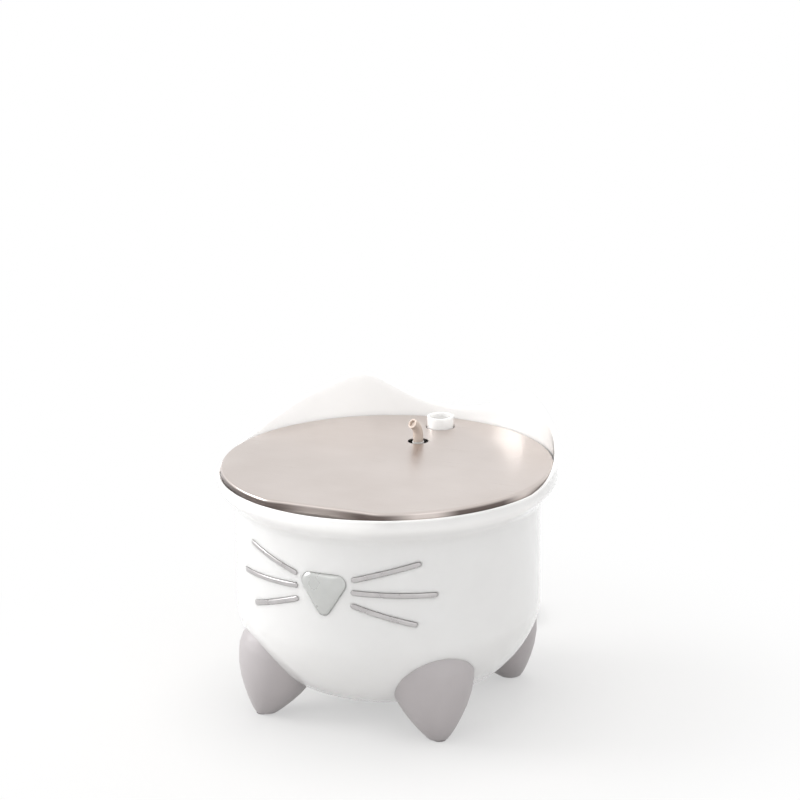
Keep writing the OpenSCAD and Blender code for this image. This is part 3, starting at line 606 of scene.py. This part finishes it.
# Pieces that keep the solid's shape, merged and with their edges rounded: body, slot, finish, edge in mm
keptShapes = {
    **{"foot_" + corner: ("bowl", "grey_plastic", greyAbs, 1.2)
       for corner in ("front_left", "front_right", "rear_left", "rear_right")},
    "foot_pads": ("bowl", "rubber_pads", padRubber, 0.4),
    "foot_screws": ("bowl", "screw_steel", screwZinc, 0.15),
    "cord_bush": ("bowl", "cord_rubber", whiteTpe, 0.35),
    "cover": ("cover", "white_plastic", coverAbs, 0.4),
    "spout_sleeve": ("sleeve", "clear_plastic", sleevePc, 0.25),
    "spout_tip": ("tip", "spout_rubber", beigeTpe, 0.25),
    "filter_tray": ("tray", "tray_plastic", milkyPp, 0.3),
    "pump_housing": ("pump", "pump_plastic", pumpAbs, 0.5),
    "pump_volute": ("pump", "pump_plastic", pumpAbs, 0.5),
    "pump_gland": ("pump", "cord_rubber", greyPvc, 0.3),
    "pump_stator": ("pump", "stator_iron", varnish, 0.2),
    "pump_shaft": ("pump", "shaft_steel", ceramic, 0.1),
    "level_led": ("pump", "red_lens", redAcrylic, 0.2),
    "light_sensor": ("pump", "sensor_lens", sensorWindow, 0.1),
    "pump_intake": ("intake", "pump_plastic", pumpAbs, 0.3),
    "impeller": ("rotor", "rotor_plastic", rotorFerrite, 0.2),
    "flow_knob": ("knob", "knob_plastic", knobAbs, 0.3),
    "riser_tube": ("tube", "tube_plastic", tubePp, 0.3),
}


def makeKeptShapes():
    for node, (body, slotName, material, edge) in keptShapes.items():
        name = "".join(word.title() if i else word for i, word in enumerate(node.split("_")))
        placed(name, softened(node, edge), body, material, [node], None)


makeKeptShapes()
print("pieces made:", len(keptShapes))


# Bowl: rings up its outside, over the rim with its two ears, and down its inside
bowl = {"radius": 104, "wall": 2.5, "base": 10, "round": 70, "flare": 141, "flareHigh": 17.5,
        "rimOut": 115.5, "rimIn": 113.4, "rimHalf": 1.05, "ledge": 159.8, "ledgeIn": 109.4, "rim": 163.4,
        "earAt": 33, "earHigh": 32.5, "earWide": (17, 37), "tipHigh": 3, "tipWide": 9, "valley": 12,
        "frontDip": 1.4, "dipFrom": 70, "dipOver": 30, "pocket": 103, "cutOut": 112, "count": 288,
        "bottomCurve": (0.61, 1.33), "bottomRings": 24, "wallRings": 8, "flareRings": 12, "rimRings": 6}


# Height of the rim at an angle from the back, in degrees
def rimHeight(angle):
    a = abs((angle + 180) % 360 - 180)
    apart = a - bowl["earAt"]
    bell = math.exp(-(apart / bowl["earWide"][0 if apart < 0 else 1]) ** 2)
    tip = math.exp(-(apart / bowl["tipWide"]) ** 2)
    valley = bowl["valley"] * (1 - bell) if a < bowl["earAt"] else 0
    dip = bowl["frontDip"] * max(0, (a - bowl["dipFrom"]) / bowl["dipOver"])
    return bowl["rim"] + max(0, bowl["earHigh"] * bell + bowl["tipHigh"] * tip + valley - dip)


def roundedBottom(radius, base):
    points, count = [], bowl["bottomRings"]
    for step in range(1, count + 1):
        a = math.radians(90 - step * 90 / count)
        points.append((radius * math.cos(a) ** bowl["bottomCurve"][0],
                       bowl["round"] - (bowl["round"] - base) * math.sin(a) ** bowl["bottomCurve"][1]))
    return points


def flaredWall(radius, lift, limit):
    straight, count = bowl["wallRings"], bowl["flareRings"]
    points = [(radius, bowl["round"] + lift + (bowl["flare"] - bowl["round"]) * k / straight)
              for k in range(1, straight + 1)]
    for step in range(1, count + 1):
        a = math.pi * step / count
        points.append((min(radius + (bowl["rimOut"] - bowl["radius"]) * (1 - math.cos(a)) / 2, limit),
                       bowl["flare"] + lift + bowl["flareHigh"] * step / count))
    return points


# Where the pocket's floor lies at x, on the front of the bowl
def pocketFloor(x):
    return -math.sqrt(bowl["pocket"] ** 2 - x * x)


# An outline on the front of the bowl, cut in to the pocket's radius
def frontCutter(loop):
    return ringMesh("cutter", [[(x, pocketFloor(x), z) for x, z in loop],
                               [(x, -bowl["cutOut"], z) for x, z in loop]])


noseShape = {"half": 15.8, "topRound": 6.3, "topZ": 114.6, "tipRound": 4.6, "tipZ": 96.5, "gap": 0.3,
             "cornerPoints": 48}


def noseOutline(grow):
    points, count = [], noseShape["cornerPoints"]
    side = noseShape["half"] - noseShape["topRound"]
    corners = [(x, noseShape["topZ"], noseShape["topRound"]) for x in (-side, side)]
    for x, z, r in [*corners, (0, noseShape["tipZ"], noseShape["tipRound"])]:
        for a in allRound(count):
            points.append((x + (r + grow) * math.cos(a), z + (r + grow) * math.sin(a)))
    return [points[i] for i in convex_hull_2d([Vector(point) for point in points])]


whiskerRows = {"Upper": (21.4, 118.5, 60, 129), "Middle": (21, 109.6, 68.6, 107),
               "Lower": (20.7, 100.4, 57.8, 87.4)}
whiskerEnds = {side + row: (hand * x, z, hand * far, farZ) for side, hand in (("Right", 1), ("Left", -1))
               for row, (x, z, far, farZ) in whiskerRows.items()}
whiskerStrip = {"half": 1.6, "middle": 0.95, "thick": 0.85, "fadeFrom": 1.2, "square": 0.6, "groove": 0.35,
                "steps": 40, "sides": 14}


# Sections along a whisker: middle point, half width there, as it rounds off at both ends
def whiskerSections(ends, grow):
    start, end = Vector(ends[:2]), Vector(ends[2:])
    long = (end - start).length
    along = (end - start) / long
    half = whiskerStrip["half"] + grow
    sections = []
    for step in range(whiskerStrip["steps"] + 1):
        share = (1 - math.cos(math.pi * step / whiskerStrip["steps"])) / 2
        reach = -half + (long + 2 * half) * share
        past = max(-reach, reach - long, 0)
        sections.append((start + along * reach, Vector((-along.y, along.x)),
                         math.sqrt(max(half * half - past * past, 0.01))))
    return sections


def grooveCutter(ends):
    rings = []
    for middle, across, half in whiskerSections(ends, whiskerStrip["groove"]):
        low, high = middle - across * half, middle + across * half
        rings.append([(low.x, pocketFloor(low.x), low.y), (high.x, pocketFloor(high.x), high.y),
                      (high.x, -bowl["cutOut"], high.y), (low.x, -bowl["cutOut"], low.y)])
    return ringMesh("cutter", rings)


def makeBowl():
    count = bowl["count"]
    tops = [rimHeight(360 * k / count) for k in range(count)]
    turns = allRound(count)

    def upper(radius, share, foot):
        return [(radius * math.sin(turn), radius * math.cos(turn),
                 foot + (top - bowl["rimHalf"] - foot) * share) for turn, top in zip(turns, tops)]

    outer = [(0.4, bowl["base"]), *roundedBottom(bowl["radius"], bowl["base"]),
             *flaredWall(bowl["radius"], 0, bowl["rimOut"])]
    rings = turned(outer, count=count)
    steps = bowl["rimRings"]
    rings += [upper(bowl["rimOut"], k / steps, bowl["flare"] + bowl["flareHigh"])
              for k in range(1, steps + 1)]
    middle, half = (bowl["rimOut"] + bowl["rimIn"]) / 2, (bowl["rimOut"] - bowl["rimIn"]) / 2
    for k in range(1, 8):
        a = math.pi * k / 8
        reach = middle + half * math.cos(a)
        rings.append([(reach * math.sin(turn), reach * math.cos(turn), top - half + half * math.sin(a))
                      for turn, top in zip(turns, tops)])
    rings += [upper(bowl["rimIn"], 1 - k / steps, bowl["ledge"] + 0.3) for k in range(steps + 1)]
    ledge = [(bowl["rimIn"] - 0.3, bowl["ledge"]), (bowl["ledgeIn"] + 0.4, bowl["ledge"]),
             (bowl["ledgeIn"], bowl["ledge"] - 0.4)]
    radius, base = bowl["radius"] - bowl["wall"], bowl["base"] + bowl["wall"]
    inner = [(0.4, base), *roundedBottom(radius, base)]
    inner += [point for point in flaredWall(radius, 1.5, bowl["ledgeIn"]) if point[1] < bowl["ledge"] - 1]
    rings += turned([*ledge, *reversed(inner)], count=count)
    hole = {"radius": 4.6, "z": 134, "from": -112, "to": -96, "count": 40}
    bush = [[(x, hole["radius"] * math.sin(a), hole["z"] + hole["radius"] * math.cos(a))
             for a in allRound(hole["count"])] for x in (hole["from"], hole["to"])]
    cutters = [frontCutter(noseOutline(noseShape["gap"])), ringMesh("cutter", bush)]
    cutters += [grooveCutter(ends) for ends in whiskerEnds.values()]
    mesh = carved(ringMesh("bowl", rings), cutters)
    placed("bowl", mesh, "bowl", whiteAbs, ["bowl"], 32)


# Nose: a domed patch in its pocket, with a rounded edge
def makeNose():
    dome = {"radius": 60, "proud": 2.6, "z": 107, "edge": 1.1, "edgeLoops": 6, "back": 0.02, "inward": 0.96,
            "loops": 10}
    outline = noseOutline(0)
    centre = Vector((0, dome["z"]))
    rings = [[(x, -bowl["pocket"] - dome["back"], z) for x, z in outline]]
    for k in range(dome["loops"] + 1):
        inward = k / dome["loops"]
        rounded = dome["edge"] * (1 - math.sqrt(max(0, 1 - (1 - min(1, inward * dome["edgeLoops"])) ** 2)))
        ring = []
        for x, z in outline:
            at = centre + (Vector((x, z)) - centre) * (1 - dome["inward"] * inward)
            rise = math.sqrt(max(0, dome["radius"] ** 2 - at.x ** 2 - (at.y - dome["z"]) ** 2))
            face = dome["radius"] - bowl["radius"] - dome["proud"] - rise
            ring.append((at.x, face + rounded, at.y))
        rings.append(ring)
    placed("noseCover", ringMesh("noseCover", rings), "bowl", silverLacquer,
           ["nose_cover"], 50)


# Whiskers: strips with a rounded face that lie in their grooves
def makeWhiskers():
    for key, ends in whiskerEnds.items():
        rings = []
        for middle, across, half in whiskerSections(ends, 0):
            ring = []
            thick = whiskerStrip["thick"] * min(1, half / whiskerStrip["fadeFrom"])
            for a in allRound(whiskerStrip["sides"]):
                u, v = (math.copysign(abs(c) ** whiskerStrip["square"], c)
                        for c in (math.cos(a), math.sin(a)))
                at = middle + across * (u * half)
                depth = bowl["pocket"] + whiskerStrip["middle"] + v * thick
                ring.append((at.x, -math.sqrt(depth ** 2 - at.x ** 2), at.y))
            rings.append(ring)
        parts = "".join("_" + letter.lower() if letter.isupper() else letter for letter in key)
        placed("whisker" + key, ringMesh("whisker" + key, rings), "bowl", whiskerTrim,
               ["whisker" + parts], 50)


# Plate: pressed sheet with a rolled edge, a flat front, a hole for the spout and a collared slot
plate = {"radius": 112.9, "flat": 105.4, "corner": 9, "top": 167.8, "sheet": 0.8, "foot": 160.2, "roll": 1.9,
         "hole": (0, 52, 7.2), "slot": (0, 90.6, 9.8), "collar": 10.6, "collarDeep": 3, "side": 4, "face": 5,
         "faceEdge": 2.6, "shares": (0.01, 0.1, 0.25, 0.5, 0.75, 0.9, 1), "rollRings": 8, "count": 360,
         "holeCount": 72}


# The plate's outline, drawn in by inset: a circle whose front is cut flat, with soft corners between
def plateOutline(inset):
    points = []
    radius, flat, soft = plate["radius"] - inset, plate["flat"] - inset, plate["corner"]
    for a in allRound(plate["count"]):
        x, y = math.sin(a), -math.cos(a)
        straight = flat / -y if y < -0.05 else 1e6
        blend = min(1, max(0, 0.5 + (straight - radius) / (2 * soft) * 3))
        reach = straight * (1 - blend) + radius * blend - soft * 0.33 * blend * (1 - blend) / 3
        points.append((x * min(reach, radius), y * min(reach, radius)))
    return points


def makePlate():
    def loop(inset, height, share=1.0):
        return [(x * share, y * share, height) for x, y in plateOutline(inset)]

    top, foot, thick, roll, steps = (plate[key] for key in ("top", "foot", "sheet", "roll", "rollRings"))
    rings = [loop(plate["face"], top, share) for share in plate["shares"]]
    rings.append(loop(plate["faceEdge"], top))
    for k in range(steps + 1):
        a = math.pi / 2 * k / steps
        rings.append(loop(roll * (1 - math.sin(a)), top - roll * (1 - math.cos(a))))
    # down the side, round the hem at the foot and up again inside
    rings += [loop(*at) for at in ((0, top - plate["side"]), (0, foot + 0.5), (0.15, foot + 0.1), (0.4, foot),
                                   (0.65, foot + 0.1), (thick, foot + 0.5))]
    inside = roll - thick
    for k in range(steps + 1):
        a = math.pi / 2 * (1 - k / steps)
        rings.append(loop(thick + inside * (1 - math.sin(a)), top - thick - inside * (1 - math.cos(a))))
    rings += [loop(plate["face"], top - thick, share) for share in reversed(plate["shares"])]
    holes = []
    for x, y, radius in (plate["hole"], (*plate["slot"][:2], plate["collar"] - 0.1)):
        cutter = turned([(radius, top + 3), (radius, top - plate["side"])], (x, y), plate["holeCount"])
        holes.append(ringMesh("cutter", cutter))
    sheet = carved(ringMesh("plate", rings), holes)
    x, y, radius = plate["slot"]
    low = top - plate["collarDeep"]
    tube = [(plate["collar"] + 0.4, top - 0.02), (radius + 0.8, top - 0.15), (radius + 0.2, top - 0.6),
            (radius, top - 1.3), (radius, low), (plate["collar"], low), (plate["collar"], top - 1.2),
            (plate["collar"] + 0.4, top - 0.7)]
    collar = ringMesh("collar", turned(tube, (x, y), plate["holeCount"]), True)
    placed("steelPlate", joined("steelPlate", [sheet, collar]), "plate", steelSheet,
           ["steel_plate"], 30)


# Filter: a film pouch with four pockets of grains under a felt top
filterShape = {"wide": 75, "long": 70, "corner": 9, "middle": -10.9, "hole": 7.5, "top": 132.8, "film": 1.0,
               "deep": 10, "pocketAt": (18.15, 16.9), "pocket": (32.5, 30), "pocketCorner": 7, "taper": 4.2,
               "holeRim": 1.5, "crumple": 0.16, "pucker": 0.2, "around": 300, "loops": 64, "backLoops": 8,
               "inset": 0}
feltShape = {"top": 133.4, "inset": 0.35, "sag": 0.28, "arc": 0.22, "arcAt": 12.2, "arcWide": 0.7,
             "arcTurn": 32, "nap": 0.05, "loops": 48, "backLoops": 12}


# How far a point lies outside a rounded box round the origin, below 0 inside it
def outsideBox(x, y, wide, long, corner):
    dx, dy = abs(x) - wide / 2 + corner, abs(y) - long / 2 + corner
    return math.hypot(max(dx, 0), max(dy, 0)) + min(max(dx, dy), 0) - corner


# How far the box reaches at an angle, found by halving
def boxOutline(wide, long, corner, angle):
    x, y = math.cos(angle), math.sin(angle)
    low, high = 0.0, 80.0
    for step in range(30):
        reach = (low + high) / 2
        out = outsideBox(x * reach, y * reach, wide, long, corner)
        low, high = (reach, high) if out < 0 else (low, reach)
    return low


# 1 in the middle of a pocket, 0 at its edge and round the hole
def pocketDepth(x, y):
    at, size = filterShape["pocketAt"], filterShape["pocket"]
    inside = -outsideBox(abs(x) - at[0], abs(y) - at[1], *size, filterShape["pocketCorner"])
    fromHole = math.hypot(x, y) - filterShape["hole"] - filterShape["holeRim"]
    share = min(1, max(0, min(inside, fromHole) / filterShape["taper"]))
    return (share * (2 - share)) ** 1.15


def filterRing(share, inset, height):
    ring = []
    for a in allRound(filterShape["around"]):
        outer = boxOutline(filterShape["wide"] - 2 * inset, filterShape["long"] - 2 * inset,
                           filterShape["corner"] - inset, a)
        inner = filterShape["hole"] + inset * 0.6
        reach = inner + (outer - inner) * share
        x, y = reach * math.cos(a), reach * math.sin(a)
        ring.append((x, y + filterShape["middle"], height(x, y)))
    return ring


# A layer of the filter: out along its shaped face and back along its flat one
def filterLayer(name, node, finish, shape, height, flat):
    loops, back, inset = shape["loops"], shape["backLoops"], shape["inset"]
    rings = [filterRing(k / loops, inset, height) for k in range(loops + 1)]
    rings += [filterRing(1 - k / back, inset, lambda x, y: flat) for k in range(back + 1)]
    return placed(name, ringMesh(name, rings, True), "filter", finish, [node], 50)


def makeFilter():
    top = filterShape["top"]
    under = top - filterShape["film"]

    def below(x, y):
        crumple = filterShape["crumple"] * math.sin(x * 1.9 + y * 0.7) * math.sin(y * 2.3 - x * 0.5)
        deep = pocketDepth(x, y)
        pucker = filterShape["pucker"] if deep > 0.9 else 0
        return under - filterShape["deep"] * deep + crumple * deep + pucker * deep

    pouch = filterLayer("filterPouch", "filter_pouch", grainFilm, filterShape, below, top - 0.02)

    def above(x, y):
        reach, swing = math.hypot(x, y), math.degrees(math.atan2(y, x))
        arc = feltShape["arc"] if abs((swing + 180) % 90 - 45) < feltShape["arcTurn"] else 0
        arcs = arc * math.exp(-((reach - feltShape["arcAt"]) / feltShape["arcWide"]) ** 2)
        sag = feltShape["sag"] * pocketDepth(x, y)
        return feltShape["top"] + arcs - sag + feltShape["nap"] * math.sin(x * 1.3) * math.sin(y * 1.1)

    felt = filterLayer("filterFelt", "filter_felt", feltSheet, feltShape, above, top + 0.02)


# Grains: points spread over a bed's own solid, each with a small faceted ball. Node, slot, finish, a grain's
# radius in mm, grains on a square metre, seed
grainBeds = {"carbonGrains": ("carbon_fill", "carbon_grains", carbonGrain, 0.75, 160000, 3),
             "resinGrains": ("resin_fill", "resin_beads", resinGrain, 0.65, 150000, 11)}
grain = {"least": 0.7, "most": 1.2, "turn": (6.2, 6.2, 6.2), "drawnIn": 0.84}


def makeGrains(name, node, slotName, material, radius, density, seed):
    tree = bpy.data.node_groups.new(name, "GeometryNodeTree")
    face = tree.interface
    face.new_socket("Bed", in_out="INPUT", socket_type="NodeSocketGeometry")
    face.new_socket("Grains", in_out="OUTPUT", socket_type="NodeSocketGeometry")
    given = addNode(tree, "NodeGroupInput")
    spread = addNode(tree, "GeometryNodeDistributePointsOnFaces", {
        "Mesh": given.outputs["Bed"], "Density": density, "Seed": seed})
    ball = addNode(tree, "GeometryNodeMeshIcoSphere", {"Radius": radius / 1000, "Subdivisions": 1})
    grow = addNode(tree, "FunctionNodeRandomValue", {
        2: grain["least"], 3: grain["most"], "Seed": seed + 1}, data_type="FLOAT")
    swing = addNode(tree, "FunctionNodeRandomValue", {
        0: (0, 0, 0), 1: grain["turn"], "Seed": seed + 2}, data_type="FLOAT_VECTOR")
    balls = addNode(tree, "GeometryNodeInstanceOnPoints", {
        "Points": spread.outputs["Points"], "Instance": ball.outputs["Mesh"],
        "Rotation": swing.outputs[0], "Scale": grow.outputs[1]})
    real = addNode(tree, "GeometryNodeRealizeInstances", {"Geometry": balls.outputs["Instances"]})
    dressed = addNode(tree, "GeometryNodeSetMaterial", {
        "Geometry": real.outputs["Geometry"], "Material": material})
    addNode(tree, "NodeGroupOutput", {"Grains": dressed.outputs["Geometry"]})
    # the bed is drawn in a little, so that its grains stay inside the film
    bed = bpy.data.meshes.new(name)
    build = mergedCopy(node)
    for island in islandsOf(build):
        middle = sum((vert.co for vert in island), Vector()) / len(island)
        for vert in island:
            vert.co = middle + (vert.co - middle) * grain["drawnIn"]
    build.to_mesh(bed)
    build.free()
    piece = loose(name, bed)
    growing = piece.modifiers.new("grains", "NODES")
    growing.node_group = tree
    mesh = settled(piece)
    bpy.data.objects.remove(piece)
    placed(name, mesh, "filter", material, [node], None)


def islandsOf(build):
    left, islands = set(build.verts), []
    while left:
        queue, island = [left.pop()], []
        while queue:
            vert = queue.pop()
            island.append(vert)
            for edge in vert.link_edges:
                other = edge.other_vert(vert)
                if other in left:
                    left.remove(other)
                    queue.append(other)
        islands.append(island)
    return islands


feltSheet = feltFinish(filterShape["middle"])
grainFilm = pouchFinish(filterShape["middle"])
makeBowl()
makeNose()
makeWhiskers()
makePlate()
makeFilter()
for name, bed in grainBeds.items():
    makeGrains(name, *bed)
print("bowl, face, plate and filter made")


# Floor and light
studio = {"floor": 3000, "floorTop": -0.3, "floorLow": -8, "paper": "#cccbca", "near": 0.15, "far": 0.36,
          "glow": 0.5, "ambient": 0.97, "aim": (0, 0, 0.15), "unmirrored": "top",
          "lamps": {"key": ((-1.7, -0.5, 1.0), 1.0, 22.0), "fill": ((1.7, -1.2, 0.9), 1.4, 2.5),
                    "top": ((-0.1, 0.2, 2.3), 1.4, 20.0), "front": ((-0.5, -2.0, 1.6), 1.2, 3.0)}}


# 1 for what the camera, a mirror or clear plastic sees of the room, which is plain white there
def plainRays(tree):
    rays = addNode(tree, "ShaderNodeLightPath")
    seen = addNode(tree, "ShaderNodeMath", {
        0: rays.outputs["Is Camera Ray"], 1: rays.outputs["Is Glossy Ray"]}, operation="MAXIMUM")
    clear = addNode(tree, "ShaderNodeMath", {
        0: seen.outputs[0], 1: rays.outputs["Is Transmission Ray"]}, operation="MAXIMUM")
    return clear.outputs[0]


def makeFloor():
    wide, top, low = studio["floor"], studio["floorTop"], studio["floorLow"]
    rings = turned([(0.001, top), (wide, top), (wide, low), (0.001, low)], count=96)
    material, tree, place = startMaterial("pale studio floor")
    apart = addNode(tree, "ShaderNodeVectorMath", {0: place}, operation="LENGTH")
    far = addNode(tree, "ShaderNodeMapRange", {
        "Value": apart.outputs["Value"], "From Min": studio["near"], "From Max": studio["far"],
        "To Min": studio["glow"]}, interpolation_type="SMOOTHSTEP")
    clear = plainRays(tree)
    share = addNode(tree, "ShaderNodeMath", {0: far.outputs["Result"], 1: clear}, operation="MULTIPLY")
    paper = addNode(tree, "ShaderNodeBsdfDiffuse", {"Color": hexColour(studio["paper"])})
    white = addNode(tree, "ShaderNodeEmission", {"Color": (1, 1, 1, 1), "Strength": 1.0})
    endMaterial(tree, addNode(tree, "ShaderNodeMixShader", {
        0: share.outputs[0], 1: paper.outputs[0], 2: white.outputs[0]}))
    floor = loose("floor", ringMesh("floor", rings))
    floor.data.materials.append(material)
    smoothed(floor.data)


def makeWorld():
    world = bpy.data.worlds.new("studio")
    bpy.context.scene.world = world
    world.use_nodes = True
    tree = world.node_tree
    tree.nodes.clear()
    clear = plainRays(tree)
    strength = addNode(tree, "ShaderNodeMapRange", {
        "Value": clear, "To Min": studio["ambient"]})
    sky = addNode(tree, "ShaderNodeBackground", {"Color": (1, 1, 1, 1), "Strength": strength.outputs[0]})
    addNode(tree, "ShaderNodeOutputWorld", {"Surface": sky.outputs[0]})


def makeLamps():
    for name, (place, size, watts) in studio["lamps"].items():
        data = bpy.data.lights.new(name, "AREA")
        data.shape = "DISK"
        data.size = size
        data.energy = watts
        lamp = loose(name, data)
        # steel seen from above mirrors the room, not this lamp
        lamp.visible_glossy = name != studio["unmirrored"]
        aim = (Vector(studio["aim"]) - Vector(place)).to_track_quat("-Z", "Y")
        lamp.matrix_world = Matrix.Translation(place) @ aim.to_matrix().to_4x4()


makeFloor()
makeWorld()
makeLamps()
bpy.context.scene.view_settings.view_transform = "Standard"
print("floor and light made")
